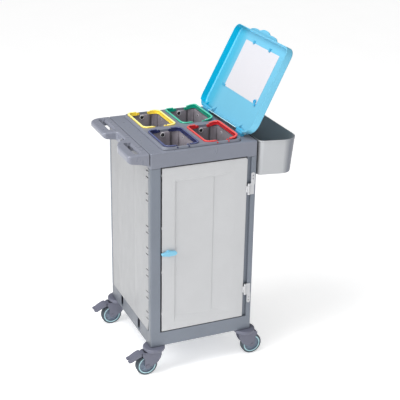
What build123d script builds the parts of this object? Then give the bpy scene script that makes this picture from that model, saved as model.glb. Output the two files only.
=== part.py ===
from build123d import *
import os
import math

os.makedirs("parts", exist_ok=True)

# ---------------------------------------------------------------- driving dimensions (mm)
W, D, H = 444.0, 486.0, 826.0          # carcass width, depth, height above the base's underside
X0, Y0, Z0 = -272.0, -243.0, 131.0     # carcass front-left-bottom corner in the row frame

BASE_Z, BASE_H = -5.0, 57.0            # underside and top of the base tray
TOP_Z = 764.0                          # underside of the top frame
CORNER_R = 5.0                         # vertical corner radius of the carcass
SEAM = 1.2                             # width of the open seams between mouldings

DECK_X1, DECK_X2, DECK_Y1, DECK_Y2, DECK_T = 55.0, 389.0, 15.0, 471.0, 11.0
RING_CX = {"left": 139.5, "right": 304.5}
RING_CY = {"front": 123.0, "back": 362.5}
RING_PIVOT_DX = 23.5                   # pivot's distance from the mouth's middle
RING_PIVOT_Z = H + 7.5
RING_TILT = 13.0                       # how far the red and green right halves stand up at rest
PEG_R = 2.5

DOOR_X1, DOOR_X2, DOOR_Z1, DOOR_Z2 = 48.0, 405.4, 60.5, 760.5
DOOR_Y1, DOOR_Y2 = 1.0, 15.0
HINGE_X, HINGE_Y = 412.0, -3.0         # door hinge axis
LATCH_X, LATCH_Z = 74.0, 407.0         # latch axis

LID_AX, LID_AZ = 414.0, H + 17.4       # lid hinge axis
LID_OPEN = 116.95                      # opening angle at rest
LID_IN = 12.6                          # lid panel's inner face above the hinge axis when closed

WHEEL_R, WHEEL_W = 45.0, 26.0
TRAIL = 33.5
AXLE_Z = -86.0
STEM_R = 5.5
PEDAL_V, PEDAL_Z = 46.0, -31.0         # brake pedal's pivot, out from the swivel axis


# ---------------------------------------------------------------- placing helpers
def xy(z):
    return Plane(origin=(X0, Y0, Z0 + z), x_dir=(1, 0, 0), z_dir=(0, 0, 1))


def xz(y):
    return Plane(origin=(X0, Y0 + y, Z0), x_dir=(1, 0, 0), z_dir=(0, -1, 0))


def yz(x):
    return Plane(origin=(X0 + x, Y0, Z0), x_dir=(0, 1, 0), z_dir=(1, 0, 0))


def pt(x, y, z):
    return (X0 + x, Y0 + y, Z0 + z)


def block(x1, x2, y1, y2, z1, z2, mode=Mode.ADD):
    with Locations(Location(pt((x1 + x2) / 2, (y1 + y2) / 2, (z1 + z2) / 2))):
        Box(x2 - x1, y2 - y1, z2 - z1, mode=mode)


def cyl_x(y, z, x1, x2, r, mode=Mode.ADD):
    with Locations(Location(pt((x1 + x2) / 2, y, z), (0, 90, 0))):
        Cylinder(r, x2 - x1, mode=mode)


def cyl_y(x, z, y1, y2, r, mode=Mode.ADD):
    with Locations(Location(pt(x, (y1 + y2) / 2, z), (90, 0, 0))):
        Cylinder(r, y2 - y1, mode=mode)


def cyl_z(x, y, z1, z2, r, mode=Mode.ADD):
    with Locations(Location(pt(x, y, (z1 + z2) / 2))):
        Cylinder(r, z2 - z1, mode=mode)


def prism_xy(points, z1, z2, mode=Mode.ADD):
    with BuildSketch(xy(z1)) as outline:
        with BuildLine():
            Polyline(*points, close=True)
        make_face()
    extrude(outline.sketch, amount=z2 - z1, mode=mode)


def prism_xz(points, y1, y2, mode=Mode.ADD):
    with BuildSketch(xz(y1)) as outline:
        with BuildLine():
            Polyline(*points, close=True)
        make_face()
    extrude(outline.sketch, amount=-(y2 - y1), mode=mode)


def hand_in(part, label):
    part.label = label
    export_step(part, f"parts/{label}.step")


CASTORS = {"fl": (20.0, 17.0, -1), "fr": (424.0, 17.0, 1), "bl": (20.0, 469.0, -1), "br": (424.0, 469.0, 1)}

# ---------------------------------------------------------------- base tray
with BuildPart() as base_frame:
    block(0, W, 0, D, BASE_Z, BASE_H)
    fillet(base_frame.edges().filter_by(Axis.Z), CORNER_R)
    fillet(base_frame.faces().sort_by(Axis.Z)[0].outer_wire().edges(), 3)
    block(14, W - 14, 14, D - 14, 10, BASE_H + 1, Mode.SUBTRACT)
    for bx1, bx2 in ((13, 46), (W - 46, W - 13)):
        for by1, by2 in ((13, 46), (D - 46, D - 13)):
            block(bx1, bx2, by1, by2, 9, BASE_H)
    # open upright slots in both long sides
    for sy, sz in ((141.5, 8.0), (352.0, 10.0)):
        block(-1, 15, sy - 14, sy + 14, sz, BASE_H + 1, Mode.SUBTRACT)
        block(W - 15, W + 1, sy - 14, sy + 14, sz, BASE_H + 1, Mode.SUBTRACT)
        # thinner wall around each slot
        block(3.2, 15, sy - 48, sy + 48, 10, BASE_H + 1, Mode.SUBTRACT)
        block(W - 15, W - 3.2, sy - 48, sy + 48, 10, BASE_H + 1, Mode.SUBTRACT)
    # drip channel under the door, behind a thin lip
    block(46.5, 397.5, 2, 15, 50, BASE_H + 1, Mode.SUBTRACT)
    # castor stem sockets
    for cx, cy, _ in CASTORS.values():
        cyl_z(cx, cy, BASE_Z - 1, 34, STEM_R + 0.05, Mode.SUBTRACT)
hand_in(base_frame.part, "base_frame")

# ---------------------------------------------------------------- corner posts
NOTCH_Z = (745, 718, 650, 621, 514, 486, 421, 393, 326, 298, 228, 200, 136, 108)
with BuildPart() as post_front_left:
    prism_xy([(0, 0), (41, 0), (41, 25), (0, 25)], BASE_H, TOP_Z)
    fillet([e for e in post_front_left.edges().filter_by(Axis.Z)
            if abs(e.center().X - X0) < 0.1 and abs(e.center().Y - Y0) < 0.1], CORNER_R)
    # strike for the latch
    block(40, 58, 15.4, 17.4, LATCH_Z - 60, LATCH_Z + 60)
    # pairs of small fixing notches beside the side panel
    for nz in NOTCH_Z:
        block(-1, 2.5, 20.5, 26, nz - 3.0, nz + 3.0, Mode.SUBTRACT)
    # seam under the top frame
    block(-1, 45, -1, 2, TOP_Z - SEAM, TOP_Z + 1, Mode.SUBTRACT)
    block(-1, 2, -1, 26, TOP_Z - SEAM, TOP_Z + 1, Mode.SUBTRACT)
hand_in(post_front_left.part, "post_front_left")

with BuildPart() as post_front_right:
    prism_xy([(406, 10), (422, 10), (422, 0), (W, 0), (W, 25), (406, 25)], BASE_H, TOP_Z)
    fillet([e for e in post_front_right.edges().filter_by(Axis.Z)
            if abs(e.center().X - X0 - W) < 0.1 and abs(e.center().Y - Y0) < 0.1], CORNER_R)
    block(405, W + 1, -1, 2, TOP_Z - SEAM, TOP_Z + 1, Mode.SUBTRACT)
    block(W - 2, W + 1, -1, 26, TOP_Z - SEAM, TOP_Z + 1, Mode.SUBTRACT)
hand_in(post_front_right.part, "post_front_right")

# the back posts stand behind the side panels and show only a narrow strip at the back edge
with BuildPart() as post_back_left:
    prism_xy([(8.8, D - 25), (41, D - 25), (41, D), (0, D), (0, D - 16), (8.8, D - 16)], BASE_H, TOP_Z)
    fillet([e for e in post_back_left.edges().filter_by(Axis.Z)
            if abs(e.center().X - X0) < 0.1 and abs(e.center().Y - Y0 - D) < 0.1], 3)
hand_in(post_back_left.part, "post_back_left")

with BuildPart() as post_back_right:
    prism_xy([(W - 8.8, D - 25), (W - 41, D - 25), (W - 41, D), (W, D), (W, D - 16), (W - 8.8, D - 16)], BASE_H, TOP_Z)
    fillet([e for e in post_back_right.edges().filter_by(Axis.Z)
            if abs(e.center().X - X0 - W) < 0.1 and abs(e.center().Y - Y0 - D) < 0.1], 3)
hand_in(post_back_right.part, "post_back_right")

# ---------------------------------------------------------------- top frame
with BuildPart() as top_frame:
    block(0, W, 0, D, TOP_Z, H)
    fillet(top_frame.edges().filter_by(Axis.Z), CORNER_R)
    fillet(top_frame.faces().sort_by(Axis.Z)[-1].outer_wire().edges(), 3)
    block(20, W - 20, 15, D - 15, TOP_Z - 1, H - 12, Mode.SUBTRACT)
    block(62, 382, 20.5, 465.5, H - 13, H + 1, Mode.SUBTRACT)
    # rebate over the door
    block(41.2, 405.8, -1, 16, TOP_Z - 1, TOP_Z + 2.5, Mode.SUBTRACT)
hand_in(top_frame.part, "top_frame")

# ---------------------------------------------------------------- raised deck with the four mouths
with BuildPart() as bag_deck:
    with BuildSketch(xy(H)):
        with Locations(((DECK_X1 + DECK_X2) / 2, (DECK_Y1 + DECK_Y2) / 2)):
            RectangleRounded(DECK_X2 - DECK_X1, DECK_Y2 - DECK_Y1, 26)
    extrude(amount=DECK_T, taper=16)
    fillet(bag_deck.faces().sort_by(Axis.Z)[-1].outer_wire().edges(), 2.5)
    # open seam around the deck's foot
    with BuildSketch(xy(H)):
        with Locations(((DECK_X1 + DECK_X2) / 2, (DECK_Y1 + DECK_Y2) / 2)):
            RectangleRounded(DECK_X2 - DECK_X1 + 4, DECK_Y2 - DECK_Y1 + 4, 28)
            RectangleRounded(DECK_X2 - DECK_X1 - 4, DECK_Y2 - DECK_Y1 - 4, 24, mode=Mode.SUBTRACT)
    extrude(amount=SEAM, mode=Mode.SUBTRACT)
    with BuildSketch(xy(H)):
        with Locations(*[(x, y) for x in RING_CX.values() for y in RING_CY.values()]):
            RectangleRounded(140, 202, 24)
    extrude(amount=DECK_T, mode=Mode.SUBTRACT)
    for cx in RING_CX.values():
        for s in (-1, 1):
            cyl_y(cx + s * RING_PIVOT_DX, RING_PIVOT_Z, 5, D - 5, PEG_R + 0.02, Mode.SUBTRACT)
            cyl_y(cx + s * RING_PIVOT_DX, RING_PIVOT_Z, 5, 18.6, 3.12, Mode.SUBTRACT)
hand_in(bag_deck.part, "bag_deck")

with BuildPart() as ring_pins:
    for cx in RING_CX.values():
        for s in (-1, 1):
            px = cx + s * RING_PIVOT_DX
            cyl_y(px, RING_PIVOT_Z, 16.2, 29.6, PEG_R)
            cyl_y(px, RING_PIVOT_Z, 14.8, 18.5, 3.1)
            cyl_y(px, RING_PIVOT_Z, 216.4, 269.1, PEG_R)
            cyl_y(px, RING_PIVOT_Z, 455.9, 469.8, PEG_R)
hand_in(ring_pins.part, "ring_pins")


# ---------------------------------------------------------------- ring halves
def ring_half(cx, cy, s, tilt, label):
    p = cx + s * RING_PIVOT_DX
    with BuildPart() as half:
        with BuildSketch(xy(H + 11.4)):
            with Locations((cx, cy)):
                RectangleRounded(146, 208, 25)
                RectangleRounded(129, 191, 17, mode=Mode.SUBTRACT)
        extrude(amount=4.8)
        fillet(half.faces().sort_by(Axis.Z)[-1].edges(), 2.3)
        # drafted band that hangs inside the bag's mouth
        with BuildSketch(xy(H + 0.5)):
            with Locations((cx, cy)):
                RectangleRounded(131.6, 195.0, 18.5)
        with BuildSketch(xy(H + 7)):
            with Locations((cx, cy)):
                RectangleRounded(135, 197, 20)
        loft()
        with BuildSketch(xy(H + 7)):
            with Locations((cx, cy)):
                RectangleRounded(135, 197, 20)
        extrude(amount=6)
        with BuildSketch(xy(H - 0.5)):
            with Locations((cx, cy)):
                RectangleRounded(124.8, 188.6, 15)
        with BuildSketch(xy(H + 7)):
            with Locations((cx, cy)):
                RectangleRounded(129, 191, 17)
        loft(mode=Mode.SUBTRACT)
        with BuildSketch(xy(H + 7)):
            with Locations((cx, cy)):
                RectangleRounded(129, 191, 17)
        extrude(amount=6, mode=Mode.SUBTRACT)
        # keep the arms on this side of the pivot, free the lip and the band's corner near it
        far = cx - s * 120
        block(min(p, far), max(p, far), cy - 120, cy + 120, H - 20, H + 20, Mode.SUBTRACT)
        q = p + s * 7
        block(min(p, q) - 0.1, max(p, q), cy - 120, cy + 120, H + 11, H + 20, Mode.SUBTRACT)
        prism_xz([(p - s, H + 4), (p - s, H - 2), (p + s * 9, H - 2)], cy - 120, cy + 120, Mode.SUBTRACT)
        for e in (-1, 1):
            y1, y2 = sorted((cy + e * 93.4, cy + e * 98.4))
            cyl_y(p, RING_PIVOT_Z, y1, y2, 6.0)
        cyl_y(p, RING_PIVOT_Z, cy - 120, cy + 120, PEG_R + 0.05, Mode.SUBTRACT)
    body = half.part
    if tilt:
        body = body.rotate(Axis(pt(p, cy, RING_PIVOT_Z), (0, 1, 0)), tilt)
    hand_in(body, label)


for colour, col, row, tilt in (("yellow", "left", "back", 0), ("green", "right", "back", RING_TILT),
                               ("blue", "left", "front", 0), ("red", "right", "front", RING_TILT)):
    ring_half(RING_CX[col], RING_CY[row], -1, 0, f"ring_{colour}_left")
    ring_half(RING_CX[col], RING_CY[row], 1, -tilt, f"ring_{colour}_right")

# ---------------------------------------------------------------- bags
BAG_Z = 150.0
for colour, col, row in (("yellow", "left", "back"), ("green", "right", "back"),
                         ("blue", "left", "front"), ("red", "right", "front")):
    bc = (RING_CX[col], RING_CY[row])
    with BuildPart() as bag:
        with BuildSketch(xy(BAG_Z)):
            with Locations(bc):
                RectangleRounded(118, 174, 28)
        with BuildSketch(xy(H + 2)):
            with Locations(bc):
                RectangleRounded(139, 201, 23.5)
        loft()
        with BuildSketch(xy(BAG_Z + 2)):
            with Locations(bc):
                RectangleRounded(115, 171, 26.5)
        with BuildSketch(xy(H + 3)):
            with Locations(bc):
                RectangleRounded(136.1, 198.1, 22)
        loft(mode=Mode.SUBTRACT)
    hand_in(bag.part, f"bag_{colour}")

# ---------------------------------------------------------------- push handle with two D grips
GRIPS = ((19.0, 154.0), (320.0, 464.0))
GAP = 3.4                              # open seam between handle and top frame
with BuildPart() as handle_unit:
    with BuildSketch(xy(H - 49)):
        with BuildLine():
            Polyline((-GAP, 1.2), (-88, 1.2), (-88, 118), (-74, 168), (-48, 194), (-31, 199), (-31, 289), (-91, 289), (-91, 488), (-GAP, 488), close=True)
        make_face()
    extrude(amount=49)

    def upright(x, y):
        return [e for e in handle_unit.edges().filter_by(Axis.Z)
                if abs(e.center().X - X0 - x) < 0.1 and abs(e.center().Y - Y0 - y) < 0.1]

    fillet(upright(-88, 1.2), 15)
    fillet(upright(-88, 118), 100)
    fillet(upright(-74, 168), 60)
    fillet(upright(-48, 194), 30)
    fillet(upright(-91, 289), 15)
    fillet(upright(-91, 488), 52)
    fillet(upright(-31, 199) + upright(-31, 289), 9)
    # underside rising towards the grip bars
    prism_xz([(-95, H - 60), (-95, H - 17), (-91.5, H - 19), (-88, H - 23.5), (-83, H - 28), (-76, H - 31.5), (-36, H - 38), (-11, H - 46),
              (-GAP, H - 49), (5, H - 49), (5, H - 60)], -10, D + 10, Mode.SUBTRACT)
    # the back grip is shallower
    prism_xz([(-95, H - 60), (-95, H - 13), (-91.5, H - 15), (-88, H - 19), (-83, H - 22.5), (-76, H - 25.5), (-36, H - 31.5), (-32, H - 32.5),
              (-32, H - 60)], 270, D + 10, Mode.SUBTRACT)
    fillet([e for e in handle_unit.faces().sort_by(Axis.Z)[-1].outer_wire().edges() if e.center().X - X0 < -4], 7)
    # hollow under each grip, and the finger slot above it with one sloping side
    for y1, y2 in GRIPS:
        block(-57, -31 if y1 < 100 else -9, y1, y2, H - 60, H - 14, Mode.SUBTRACT)
        with BuildSketch(xy(H - 31)):
            with Locations((-43, (y1 + y2) / 2)):
                RectangleRounded(24, y2 - y1, 8)
        extrude(amount=32, mode=Mode.SUBTRACT)
        prism_xz([(-32, H + 0.2), (-24, H + 0.2), (-32, H - 12)], y1 + 5, y2 - 5, Mode.SUBTRACT)
    # shallower end wall behind the back grip
    block(-62, 0, 395, D + 10, H - 60, H - 29.5, Mode.SUBTRACT)
    # tongue that seats in the carcass, behind the open seam
    block(-4, 0, 20, 440, H - 42, H - 11)
    # small accessory hook in the recess between the grips
    block(-36, -30.5, 212, 228, H - 22, H - 5)
    block(-45, -35, 212, 228, H - 22, H - 17)
    block(-45, -41, 212, 228, H - 22, H - 8)
hand_in(handle_unit.part, "handle_unit")


# ---------------------------------------------------------------- side and back panels
def side_panel(x_in, out, label):
    # three broad upright bands, each slightly pillowed, with soft valleys between
    ys = [33.0, 199.0, 399.0, 469.4]
    with BuildPart() as panel:
        with BuildSketch(xy(BASE_H + 0.3)):
            with BuildLine():
                for a, b in zip(ys[:-2], ys[1:-1]):
                    ThreePointArc((x_in + out * 3.2, a), (x_in + out * 7.4, (a + b) / 2), (x_in + out * 3.2, b))
                # the last band ends flush with the back post
                ThreePointArc((x_in + out * 3.2, ys[-2]), (x_in + out * 5.6, 434), (x_in + out * 7.3, ys[-1]))
                # the front edge is undercut, so the gap beside the post reads as an open seam
                Polyline((x_in + out * 7.3, ys[-1]), (x_in, ys[-1]), (x_in, ys[0] + 12), (x_in + out * 3.2, ys[0]))
            make_face()
        extrude(amount=TOP_Z - BASE_H - 0.6)
        # the bands run out into a straight foot that is flush with the base
        zf = BASE_H + 0.3
        prism_xz([(x_in, zf), (x_in + out * 7.5, zf), (x_in + out * 7.5, zf + 3), (x_in + out * 3, zf + 45), (x_in, zf + 45)], 36, ys[-1])
        # slits of the fixing tongues beside the front post
        for nz in NOTCH_Z:
            block(x_in - 10, x_in + 10, 30, 58, nz - 2.3, nz + 2.3, Mode.SUBTRACT)
    hand_in(panel.part, label)


side_panel(8.0, -1, "left_panel")
side_panel(W - 8.0, 1, "right_panel")

with BuildPart() as back_panel:
    with BuildSketch(xy(BASE_H + 0.3)):
        xs = [41.4, 160.0, 284.0, 402.6]
        with BuildLine():
            for a, b in zip(xs[:-1], xs[1:]):
                ThreePointArc((a, D - 4.8), ((a + b) / 2, D - 2.4), (b, D - 4.8))
            Polyline((xs[-1], D - 4.8), (xs[-1], D - 8), (xs[0], D - 8), (xs[0], D - 4.8))
        make_face()
    extrude(amount=TOP_Z - BASE_H - 0.6)
hand_in(back_panel.part, "back_panel")

# ---------------------------------------------------------------- door
STRAPS = (("strap_upper", 606.0, 652.0, 1), ("strap_lower", 161.0, 209.0, -1))
EAR = 13.0                             # half height of the door's ear inside each strap
with BuildPart() as door:
    block(DOOR_X1, DOOR_X2, DOOR_Y1, DOOR_Y2, DOOR_Z1, DOOR_Z2)
    chamfer([e for e in door.edges().filter_by(Axis.Y) if e.center().X - X0 > DOOR_X2 - 1 and e.center().Z - Z0 > DOOR_Z2 - 1], 7)
    fillet([e for e in door.edges().filter_by(Axis.Z) if e.center().Y - Y0 < 2], 2.5)
    # sunk field with bevelled sides
    with BuildSketch(xz(DOOR_Y1 - 0.2)):
        with Locations(((99.6 + 353.4) / 2, (92 + 708.4) / 2)):
            Rectangle(353.4 - 99.6, 708.4 - 92)
    with BuildSketch(xz(DOOR_Y1 + 4.5)):
        with Locations(((108 + 345) / 2, (126 + 700) / 2)):
            Rectangle(345 - 108, 700 - 126)
    loft(mode=Mode.SUBTRACT)
    # two planks in the field: the left one leans forward towards the soft step between them, the right one towards the hinge stile
    with BuildSketch(xy(92)):
        with BuildLine():
            Polyline((108, DOOR_Y1 + 4.8), (108, DOOR_Y1 + 4.4), (262, DOOR_Y1 + 2.2), (267, DOOR_Y1 + 4.4), (353.4, DOOR_Y1 + 0.05),
                     (353.4, DOOR_Y1 + 4.8), close=True)
        make_face()
    extrude(amount=708.4 - 92)
    # the upper rail leans back a little towards its top edge
    with BuildSketch(yz(DOOR_X1 - 1)):
        with BuildLine():
            Polyline((DOOR_Y1 - 1, DOOR_Z2 + 1), (DOOR_Y1 + 2.4, DOOR_Z2 + 1), (DOOR_Y1 + 2.4, DOOR_Z2), (DOOR_Y1, DOOR_Z2 - 30),
                     (DOOR_Y1 - 1, DOOR_Z2 - 30), close=True)
        make_face()
    extrude(amount=DOOR_X2 - DOOR_X1 + 2, mode=Mode.SUBTRACT)
    # hollow back
    block(DOOR_X1 + 12, DOOR_X2 - 12, 9.5, DOOR_Y2 + 1, DOOR_Z1 + 12, DOOR_Z2 - 12, Mode.SUBTRACT)
    cyl_y(LATCH_X, LATCH_Z, 8, DOOR_Y2, 12)
    block(DOOR_X1 + 11, LATCH_X, 9, DOOR_Y2, LATCH_Z - 12, LATCH_Z + 12)
    cyl_y(LATCH_X, LATCH_Z, -5, 30, 4.05, Mode.SUBTRACT)
    # small buffers on the closing edge
    for bz in (140, 325, 515, 733):
        block(DOOR_X1 - 2.2, DOOR_X1 + 1, 3.5, 8.5, bz - 5, bz + 5)
    # hinge ears
    for _, s1, s2, _ in STRAPS:
        z1, z2 = (s1 + s2) / 2 - EAR, (s1 + s2) / 2 + EAR
        prism_xy([(402, 4), (402, -2), (404, -5), (HINGE_X, -5), (HINGE_X, 1.5), (405.4, 4)], z1, z2)
        cyl_z(HINGE_X, HINGE_Y, z1, z2, 5.0)
        cyl_z(HINGE_X, HINGE_Y, z1 - 1, z2 + 1, PEG_R + 0.05, Mode.SUBTRACT)
hand_in(door.part, "door")

# ---------------------------------------------------------------- door hinge straps with their screws, pins
for label, z1, z2, e in STRAPS:
    with BuildPart() as strap:
        arm_end = z2 + 38 if e > 0 else z1 - 32
        zb = z2 if e > 0 else z1
        block(HINGE_X, 435, -4, 0, z1, z2)
        block(422, 437, -4, 0, min(zb - e * 6, arm_end), max(zb - e * 6, arm_end))
        cyl_y(429.5, arm_end, -4, 0, 7.5)
        far_z = z1 if e > 0 else z2
        fillet([x for x in strap.edges().filter_by(Axis.Y)
                if abs(x.center().X - X0 - 435) < 0.1 and abs(x.center().Z - Z0 - far_z) < 0.1], 2)
        cyl_z(HINGE_X, HINGE_Y, z1, z2, 5.0)
        # room for the door's ear between the two knuckles
        cyl_z(HINGE_X, HINGE_Y, (z1 + z2) / 2 - EAR - 0.4, (z1 + z2) / 2 + EAR + 0.4, 5.4, Mode.SUBTRACT)
        cyl_z(HINGE_X, HINGE_Y, z1 - 1, z2 + 1, PEG_R + 0.02, Mode.SUBTRACT)
        # sunk screws in the arm
        for sz in (arm_end - e * 5, arm_end - e * 18):
            cyl_y(429.5, sz, -4.5, -1.6, 2.7, Mode.SUBTRACT)
            cyl_y(429.5, sz, -2.6, -1.5, 1.9)
            block(427, 432, -3, -2.1, sz - 0.4, sz + 0.4, Mode.SUBTRACT)
    hand_in(strap.part, label)

with BuildPart() as door_hinge_pins:
    for _, z1, z2, _ in STRAPS:
        cyl_z(HINGE_X, HINGE_Y, z1, z2, PEG_R)
hand_in(door_hinge_pins.part, "door_hinge_pins")

# ---------------------------------------------------------------- latch
with BuildPart() as latch_rosette:
    cyl_y(LATCH_X, LATCH_Z, -2, DOOR_Y1, 13)
    fillet(latch_rosette.faces().sort_by(Axis.Y)[0].edges(), 1)
    cyl_y(LATCH_X, LATCH_Z, -5, 5, 4.4, Mode.SUBTRACT)
hand_in(latch_rosette.part, "latch_rosette")

with BuildPart() as latch_knob:
    with BuildSketch(xz(-2.4)):
        with BuildLine():
            Spline(*[(LATCH_X + a, LATCH_Z + b) for a, b in
                     ((-31.5, 0), (-29.5, -4), (-24, -6), (-13, -8), (2, -9.5), (18, -9.2), (28, -7), (32, -3.5), (33, 0), (32, 3.5), (28, 7),
                      (18, 9.2), (2, 9.5), (-13, 8), (-24, 6), (-29.5, 4))], periodic=True)
        make_face()
    extrude(amount=11.6)
    fillet(latch_knob.faces().sort_by(Axis.Y)[0].edges(), 2.5)
    cyl_y(LATCH_X, LATCH_Z, -10.5, -2.4, 11.5)
    cyl_y(LATCH_X, LATCH_Z, -4, 18, 4)
    block(LATCH_X - 2.5, LATCH_X + 2.5, 17, 22.5, LATCH_Z - 2.5, LATCH_Z + 2.5)
hand_in(latch_knob.part, "latch_knob")

with BuildPart() as latch_cam:
    prism_xz([(LATCH_X - 8, LATCH_Z + 8), (LATCH_X + 8, LATCH_Z + 8), (LATCH_X + 6, LATCH_Z - 27), (LATCH_X - 6, LATCH_Z - 27)], 18.2, 21.2)
    fillet(latch_cam.edges().filter_by(Axis.Y), 3)
    block(LATCH_X - 2.52, LATCH_X + 2.52, 17, 23, LATCH_Z - 2.52, LATCH_Z + 2.52, Mode.SUBTRACT)
hand_in(latch_cam.part, "latch_cam")

# ---------------------------------------------------------------- lid (drawn closed, handed in open)
LID_X1, LID_XF, LID_XB = 45.0, 413.0, 423.0     # free edge, hinge edge at the front and at the back
LID_Z = LID_AZ + LID_IN
LID_AXIS = Axis(pt(LID_AX, 0, LID_AZ), (0, 1, 0))
LID_LOBES = ((52.0, 66.0), (120.0, 134.0), (368.0, 382.0), (448.0, 462.0))
LID_BLOCKS = ((66.4, 119.6), (382.4, 447.6))
RIM_LOW = LID_AZ - 12.5                # the rim's foot along the hinge edge


def opened(part, label):
    hand_in(part.rotate(LID_AXIS, LID_OPEN), label)


def lid_section(z, inset):
    # the lid widens from its free edge to the hinge edge, which has the rounder corners
    with BuildSketch(xy(z)) as section:
        with BuildLine():
            Polyline((LID_X1 + inset, 10.5 + inset), (LID_XF - inset, 0.5 + inset), (LID_XB - inset, 484 - inset), (LID_X1 + inset, 475.5 - inset), close=True)
        make_face()
        corners = section.vertices().sort_by(Axis.X)
        fillet(corners[:2], 32 - inset)
        fillet(section.vertices().sort_by(Axis.Y)[0:2].sort_by(Axis.X)[-1:], 58 - inset)
        fillet(section.vertices().sort_by(Axis.X)[-1:], 46 - inset)
    return section.sketch


lid_foot = lid_section(H + 0.6, 0)
lid_hollow_1 = lid_section(H, 3)
lid_hollow_2 = lid_section(LID_Z - 4, 3)
lid_hollow_3 = lid_section(LID_Z, 8)
with BuildPart() as lid:
    extrude(lid_foot, amount=LID_Z + 3 - H - 0.6)
    fillet(lid.faces().sort_by(Axis.Z)[-1].edges(), 7)
    extrude(lid_hollow_1, amount=LID_Z - 4 - H, mode=Mode.SUBTRACT)
    loft([lid_hollow_2, lid_hollow_3], mode=Mode.SUBTRACT)
    # lower rim along the hinge edge, cut away where the hinge blocks stand
    block(LID_AX - 13, LID_XB + 5, -10, D + 10, H - 5, RIM_LOW, Mode.SUBTRACT)
    for y1, y2 in LID_BLOCKS:
        block(LID_AX - 13, LID_XB + 5, y1 - 0.6, y2 + 0.6, H - 5, LID_Z - 3, Mode.SUBTRACT)
    for y1, y2 in ((45, 141), (361, 469)):
        cyl_y(LID_AX, LID_AZ, y1, y2, 3.5, Mode.SUBTRACT)
    # finger tab with three scallops on the free edge, the middle one longest
    with BuildSketch(xy(LID_Z - 1.2)):
        with BuildLine():
            Spline((50, 404), (42.5, 395), (37.5, 383), (34, 365), (32.4, 345), (33.4, 321), (29, 308), (25, 295), (23.3, 280), (24, 262),
                   (27.5, 243), (33.6, 228), (32.4, 214), (33.4, 195), (35.6, 176), (41, 165), (50, 157))
            Line((50, 157), (50, 404))
        make_face()
    extrude(amount=3.4)
    # hinge lobes
    for y1, y2 in LID_LOBES:
        cyl_y(LID_AX, LID_AZ, y1, y2, 6.5)
        prism_xz([(LID_AX - 6.5, LID_AZ), (LID_AX + 1.5, LID_AZ), (LID_AX + 1.5, LID_Z + 0.4), (LID_AX - 22, LID_Z + 0.4)], y1, y2)
        cyl_y(LID_AX, LID_AZ, y1 - 1, y2 + 1, PEG_R + 0.05, Mode.SUBTRACT)
opened(lid.part, "lid")

SHEET_X1, SHEET_X2, SHEET_Y1, SHEET_Y2 = 90.2, 300.2, 95.2, 392.2
with BuildPart() as card_sheet:
    block(SHEET_X1, SHEET_X2, SHEET_Y1, SHEET_Y2, LID_Z - 0.7, LID_Z - 0.1)
opened(card_sheet.part, "card_sheet")

with BuildPart() as card_clips:
    for cy in (319.0, 178.0):
        block(80, SHEET_X1 - 0.2, cy - 6, cy + 6, LID_Z - 3.4, LID_Z)
        block(80, 95, cy - 6, cy + 6, LID_Z - 3.4, LID_Z - 1.0)
    block(SHEET_X2 - 6, SHEET_X2 + 3, SHEET_Y2 - 8, 413, LID_Z - 2.4, LID_Z - 1.0)
    block(SHEET_X2 - 6, SHEET_X2 + 3, SHEET_Y2 + 0.3, 413, LID_Z - 2.4, LID_Z)
opened(card_clips.part, "card_clips")

# turn-button with a raised ring that holds the card's corner
with BuildPart() as card_knob:
    cyl_z(290.5, 107.5, LID_Z - 7.5, LID_Z - 0.9, 8.5)
    cyl_z(290.5, 107.5, LID_Z - 8, LID_Z - 3.4, 5, Mode.SUBTRACT)
    block(296, 306.5, 96.5, 105, LID_Z - 6, LID_Z - 0.9)
    fillet(card_knob.edges().filter_by(GeomType.CIRCLE).group_by(Axis.Z)[0], 1.2)
opened(card_knob.part, "card_knob")

with BuildPart() as lid_brackets:
    for y1, y2 in LID_BLOCKS:
        block(403, LID_AX + 2.8, y1, y2, H, H + 12)
        cyl_y(LID_AX, LID_AZ, y1, y2, 6.5)
        prism_xz([(403, H + 11), (LID_AX + 2.8, H + 11), (LID_AX + 6.3, LID_AZ), (LID_AX - 6.3, LID_AZ)], y1, y2)
        cyl_y(LID_AX, LID_AZ, y1 - 1, y2 + 1, PEG_R + 0.02, Mode.SUBTRACT)
hand_in(lid_brackets.part, "lid_brackets")

with BuildPart() as lid_pins:
    for y1, y2 in ((51.0, 135.0), (367.0, 463.0)):
        cyl_y(LID_AX, LID_AZ, y1, y2, PEG_R)
hand_in(lid_pins.part, "lid_pins")


# ---------------------------------------------------------------- side tray, open at the top, leaning outwards a little
def tray_plane(x, z):
    a = math.radians(4.0)
    return Plane(origin=pt(x, D / 2, z), x_dir=(math.cos(a), 0, -math.sin(a)), z_dir=(math.sin(a), 0, math.cos(a)))


def tray_section(x, z, w, d, r_in, r_out, shift=0.0):
    # rounded rectangle with generous outer corners, its carcass side on the plane's own origin
    with BuildSketch(tray_plane(x, z)) as section:
        with Locations((w / 2 + shift, 0)):
            Rectangle(w, d)
        corners = section.vertices().sort_by(Axis.X)
        fillet(corners[:2], r_in)
        fillet(section.vertices().sort_by(Axis.X)[-2:], r_out)
    return section.sketch


tray_low = tray_section(450.5, H - 147, 167, 480, 22, 58)
tray_top = tray_section(452, H - 9, 186, 485, 24, 76)
tray_lip = tray_section(452, H - 9, 189, 488, 25, 77.5, -1.5)
tray_in_low = tray_section(450.5, H - 144, 161.4, 474.4, 19, 55.2, 2.8)
tray_in_top = tray_section(452, H - 2.9, 181, 480, 21.5, 73.5, 2.5)
with BuildPart() as side_tray:
    loft([tray_low, tray_top])
    extrude(tray_lip, amount=6)
    fillet(side_tray.faces().sort_by(Axis.Z)[0].outer_wire().edges(), 6)
    loft([tray_in_low, tray_in_top], mode=Mode.SUBTRACT)
hand_in(side_tray.part, "side_tray")

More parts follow.
